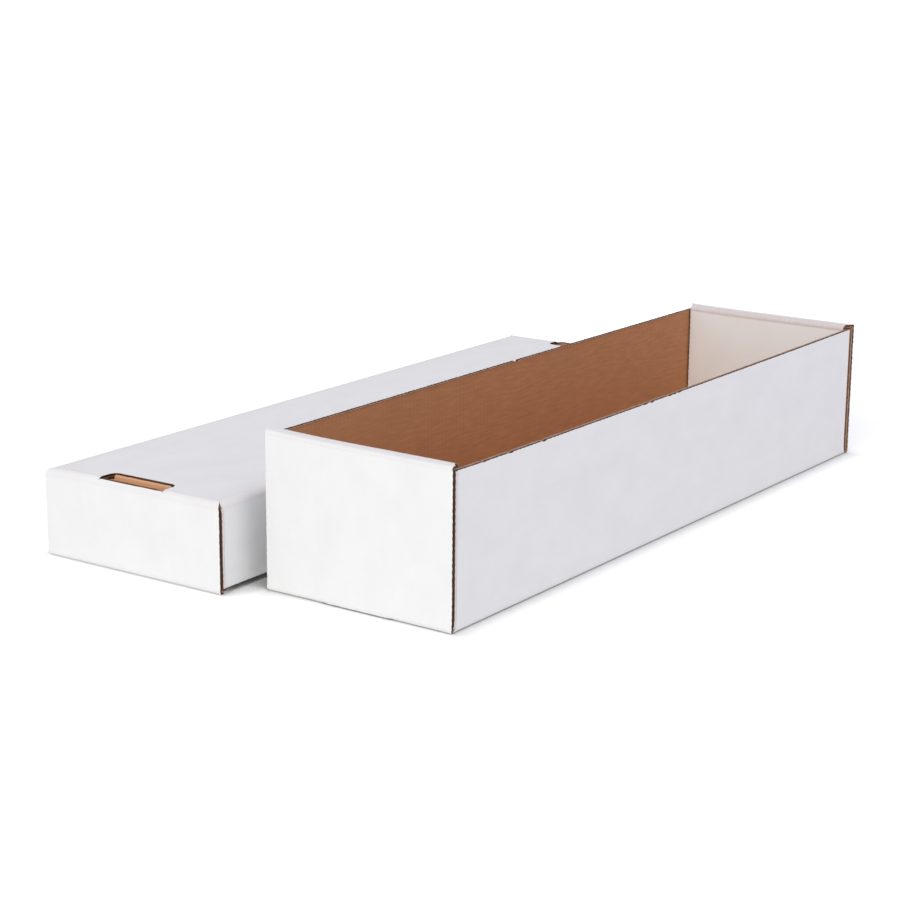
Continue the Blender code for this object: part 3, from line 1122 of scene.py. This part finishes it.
class CARDBOX_OT_end_walls(Operator):
    """Adds the four end walls with the creases at their feet"""

    bl_idname = "cardbox.end_walls"
    bl_label = "Add End Walls"
    bl_options = {"REGISTER", "UNDO"}

    def execute(self, context):
        board = context.scene.cardbox_board
        for tray in trays(context.scene):
            path = tray.end_path
            start, wall, stop = path.end_of(0), path.start_of(1), path.end_of(1) - LEAD
            slot = tray.blank.slot_length / 2

            def half_width(distance):
                share = min((distance - start) / (wall - start), 1)
                return tray.width / 2 - tray.foot_round * (1 - math.sqrt(max(1 - (1 - share) ** 2, 0)))

            for end_name, end in ENDS.items():
                name = f"{tray.name}_end_wall_{end_name}"
                panel = end_run_panel(tray, name, end, start, stop, half_width, (start, stop), slot)
                grid = {end * s for s in stations(start, wall, tray.board.pitch)}
                grid |= {end * s for s in stations(wall, stop, tray.board.pitch)}
                panel.columns = sorted(grid)
                panel.keep = lambda across, along: abs(across) > wall or abs(along) > slot
                lip_start = wall - tray.radius + LIP_START
                lip = sorted(end * s for s in stations(lip_start, wall, tray.board.pitch))
                panel.patches = [(lip, lambda across: slot_rows(slot), tray.on_lip)]
                pale = name == "base_end_wall_far"
                panel.cut_loss = -board.far_swell if pale else -board.edge_swell
                # Painted shade: the end walls' side cuts are dark, and the inner liner's face towards the
                # flutes takes the shaded medium, for the shadowed slits at the corners; the base's far end
                # wall keeps a paler cut and kraft there, as that edge is lit
                panel.cut_light_and_shade = 0.7 if pale else 0.2
                panel.liner = board.far_liner if pale else board.liner
                panel.flute_side = "Kraft Liner" if pale else "Fluted Medium"
                finished_panel(context.scene, panel, tray.name, [name])
        return {"FINISHED"}


class CARDBOX_OT_rolled_ends(Operator):
    """Adds the strips over the end walls and the folds before and after them"""

    bl_idname = "cardbox.rolled_ends"
    bl_label = "Add Rolled Ends"
    bl_options = {"REGISTER", "UNDO"}

    def execute(self, context):
        for tray in trays(context.scene):
            for end_name, end in ENDS.items():
                self.add_end(context.scene, tray, end_name, end)
        return {"FINISHED"}

    def add_end(self, scene, tray, end_name, end):
        path = tray.end_path
        wall, strip, hanging = (f"{tray.name}{part}" for part in ("", f"_roll_strip_{end_name}",
                                                                  f"_inner_panel_{end_name}"))
        full, narrow = tray.width / 2, tray.panel_side
        start, stop = path.start_of(2) + LEAD, path.end_of(2) - LEAD

        def tapering(distance):
            return full - tray.blank.strip_taper * (distance - start) / (stop - start)

        panel = end_run_panel(tray, strip, end, start, stop, tapering, (start, stop))
        # Painted light: the strip's cut ends are coloured mostly pale, lightening them where they sit in
        # shade
        panel.cut_light_and_shade = 0.8
        finished_panel(scene, panel, strip, [strip])

        before, after = path.end_of(1), path.start_of(2)
        seams = (before - LEAD, after + LEAD)
        panel = end_run_panel(tray, f"{tray.name}_outer_fold_{end_name}", end, *seams, lambda d: full, seams)
        finished_panel(scene, panel, (wall, strip, *self.across(tray, end, before, after)), [])

        before, after = path.end_of(2), path.start_of(3)
        seams = (before - LEAD, after + LEAD)

        def narrowing(distance):
            share = min(max((distance - before) / (after - before), 0), 1)
            return tapering(stop) + (narrow - tapering(stop)) * smooth(share)

        panel = end_run_panel(tray, f"{tray.name}_inner_fold_{end_name}", end, *seams, narrowing, seams)
        # Painted light: the fold's cut ends are coloured mostly pale
        panel.cut_light_and_shade = 0.8
        # The inner folds carry crease tint; on the base's far inner fold it is three times as heavy, as
        # painted shade that dims the fold where it faces the lamps
        crease_tint_and_shade = 1.5 if tray.name == "base" and end > 0 else 0.5
        panel.fold = lambda across, along: crease_tint_and_shade
        # Painted light: at the near end the fold's flutes take the cut colour in place of the shaded medium,
        # lightening the fold's shaded ends
        panel.flutes = "Cut Edge" if end < 0 else "Fluted Medium"
        finished_panel(scene, panel, (strip, hanging, *self.across(tray, end, before, after)), [])

    @staticmethod
    def across(tray, end, before, after):
        """The points in the world between which a fold turns from one body to the next."""
        return [tray.matrix @ tray.on_end(end * distance, 0)[0] for distance in (before, after)]


class CARDBOX_OT_inner_panels(Operator):
    """Adds the panels that hang inside the rolled ends, and the locking tabs at their feet"""

    bl_idname = "cardbox.inner_panels"
    bl_label = "Add Inner Panels and Tabs"
    bl_options = {"REGISTER", "UNDO"}

    def execute(self, context):
        for tray in trays(context.scene):
            for end_name, end in ENDS.items():
                self.add_end(context.scene, tray, end_name, end)
        return {"FINISHED"}

    def add_end(self, scene, tray, end_name, end):
        path = tray.end_path
        start = path.start_of(3) + LEAD
        foot = path.length - tray.panel_foot + tray.tab_tip
        tip = path.length
        body = f"{tray.name}_inner_panel_{end_name}"
        side, tab = tray.panel_side, tray.tab_side

        def panel_half(distance):
            return side - eased(foot - distance, PANEL_CORNER)

        def tab_half(distance):
            return tab - TAB_TAPER * (distance - foot) / (tip - foot) - eased(tip - distance, TAB_CORNER)

        panel = end_run_panel(tray, body, end, start, foot, panel_half, (start,), tab)
        panel.seam = lambda across, along: abs(across) < start + WHOLE or (
            abs(across) > foot - WHOLE and abs(along) < tab + WHOLE
        )
        # Painted light: the inner panel and its tab take the lighter liners
        panel.fresh = 1.0
        finished_panel(scene, panel, body, [body])
        name = f"{tray.name}_locking_tab_{end_name}"
        panel = end_run_panel(tray, name, end, foot, tip, tab_half, (foot,))
        panel.fresh = 1.0
        finished_panel(scene, panel, body, [name])


# Stage


class CARDBOX_OT_stage(Operator):
    """Adds the pale floor, the soft light and the camera"""

    bl_idname = "cardbox.stage"
    bl_label = "Add Stage"
    bl_options = {"REGISTER", "UNDO"}

    def execute(self, context):
        stage = context.scene.cardbox_stage
        self.add_floor(context, stage)
        self.add_sky(context, stage)
        self.add_lamps(context, stage)
        self.add_camera(context, stage)
        context.scene.view_settings.view_transform = "Standard"
        return {"FINISHED"}

    def add_floor(self, context, stage):
        surface = bmesh.new()
        bmesh.ops.create_grid(surface, x_segments=1, y_segments=1, size=6)
        mesh = bpy.data.meshes.new("ground")
        surface.to_mesh(mesh)
        surface.free()
        ground = bpy.data.objects.new("ground", mesh)
        ground.location.z = GROUND_LEVEL
        context.scene.collection.objects.link(ground)
        material = bpy.data.materials.new("ground")
        material.use_nodes = True
        sheet = Sheet(material.node_tree)
        seen = sheet.value("ShaderNodeLightPath")
        foot, corner = (
            sheet.value("ShaderNodeAmbientOcclusion", {"samples": 8}, {"Distance": reach}, output=1)
            for reach in (stage.foot_reach, stage.corner_reach)
        )
        between = (1 - corner.within(*CORNER_OPEN)) * foot.within(*FOOT_CLEAR)
        place = sheet.value("ShaderNodeTexCoord", {}, output=3)
        split = sheet.node("ShaderNodeSeparateXYZ", {}, {0: place})
        beside = Value(sheet, split.outputs[0]).within(*NEAR_END_LINE, FRONT_SHARE, 1.0)
        shade = foot.within(*FOOT_OPEN, 1.0, 0.0) * beside * stage.foot_shade
        lit = (1 - shade) * (1 - between * stage.corner_shade)
        colour = sheet.mixed(seen * (1 - lit), tuple(stage.ground), (0, 0, 0))
        matt = sheet.value("ShaderNodeBsdfPrincipled", {}, {"Base Color": colour, "Roughness": 0.9})
        matt.socket.node.inputs["Specular IOR Level"].default_value = 0.0
        away = sheet.value("ShaderNodeVectorMath", {"operation": "LENGTH"}, {0: place}, output=1)
        strength = seen * lit * away.within(*GLOW_RISE, stage.glow, stage.far_glow)
        glow = sheet.value("ShaderNodeEmission", {}, {"Color": (1, 1, 1, 1), "Strength": strength})
        both = sheet.value("ShaderNodeAddShader", {}, {0: matt, 1: glow})
        sheet.node("ShaderNodeOutputMaterial", {}, {"Surface": both})
        mesh.materials.append(material)

    def add_sky(self, context, stage):
        world = bpy.data.worlds.new("sky")
        context.scene.world = world
        world.use_nodes = True
        sheet = Sheet(world.node_tree)
        path = sheet.node("ShaderNodeLightPath")
        camera, glossy, clear = (Value(sheet, path.outputs[name]) for name in
                                 ("Is Camera Ray", "Is Glossy Ray", "Is Transmission Ray"))
        seen = (camera + glossy + clear).within(0, 1)
        even, white = (
            sheet.value("ShaderNodeBackground", {}, {"Color": (*colour, 1), "Strength": strength})
            for colour, strength in ((stage.sky_colour, stage.sky), ((1, 1, 1), 1.0))
        )
        both = sheet.value("ShaderNodeMixShader", {}, {0: seen, 1: even, 2: white})
        sheet.node("ShaderNodeOutputWorld", {}, {"Surface": both})

    def add_lamps(self, context, stage):
        for name, round_to_right, watts in (("key", 10, stage.key), ("fill", 70, stage.fill)):
            turn = math.radians(round_to_right)
            data = bpy.data.lights.new(name, "AREA")
            data.shape = "SQUARE"
            data.size = LAMP_SIZE
            data.energy = watts
            data.color = stage.warm
            lamp = bpy.data.objects.new(name, data)
            away = Vector((-math.cos(turn), -math.sin(turn), math.tan(LAMP_ELEVATION)))
            lamp.location = away.normalized() * LAMP_DISTANCE
            lamp.rotation_euler = (-lamp.location).to_track_quat("-Z", "Y").to_euler()
            context.scene.collection.objects.link(lamp)

    def add_camera(self, context, stage):
        data = bpy.data.cameras.new("camera")
        data.sensor_width = 36
        data.lens = stage.focal_length
        data.clip_start = 0.05
        data.clip_end = 50
        camera = bpy.data.objects.new("camera", data)
        level = math.cos(stage.pitch)
        forward = Vector((math.cos(stage.yaw) * level, math.sin(stage.yaw) * level, -math.sin(stage.pitch)))
        right = Vector((math.sin(stage.yaw), -math.cos(stage.yaw), 0))
        up = right.cross(forward)
        turn = Matrix((right, up, -forward)).transposed() @ Matrix.Rotation(stage.roll, 3, "Z")
        camera.matrix_world = Matrix.Translation(stage.camera) @ turn.to_4x4()
        context.scene.collection.objects.link(camera)
        context.scene.camera = camera


# Sidebar


BUILD_ORDER = (
    CARDBOX_OT_floors,
    CARDBOX_OT_side_walls,
    CARDBOX_OT_corner_flaps,
    CARDBOX_OT_end_walls,
    CARDBOX_OT_rolled_ends,
    CARDBOX_OT_inner_panels,
    CARDBOX_OT_stage,
)

SETTINGS = {
    "cardbox_board": CARDBOX_PG_board,
    "cardbox_blank": CARDBOX_PG_blank,
    "cardbox_paper": CARDBOX_PG_paper,
    "cardbox_stage": CARDBOX_PG_stage,
}


class CARDBOX_PT_build(Panel):
    """Lists the steps that build the box, and its settings"""

    bl_idname = "CARDBOX_PT_build"
    bl_label = "Card Storage Box"
    bl_space_type = "VIEW_3D"
    bl_region_type = "UI"
    bl_category = "Card Box"

    def draw(self, context):
        for step in BUILD_ORDER:
            self.layout.operator(step.bl_idname)
        for name, group in SETTINGS.items():
            column = self.layout.box().column()
            for setting in group.__annotations__:
                column.prop(getattr(context.scene, name), setting)


CLASSES = (*SETTINGS.values(), *BUILD_ORDER, CARDBOX_PT_build)


def register():
    for cls in CLASSES:
        bpy.utils.register_class(cls)
    for name, group in SETTINGS.items():
        setattr(bpy.types.Scene, name, PointerProperty(type=group))


def unregister():
    for name in SETTINGS:
        delattr(bpy.types.Scene, name)
    for cls in reversed(CLASSES):
        bpy.utils.unregister_class(cls)


def main():
    register()
    for step in BUILD_ORDER:
        group, action = step.bl_idname.split(".")
        getattr(getattr(bpy.ops, group), action)()


if __name__ == "__main__":
    main()
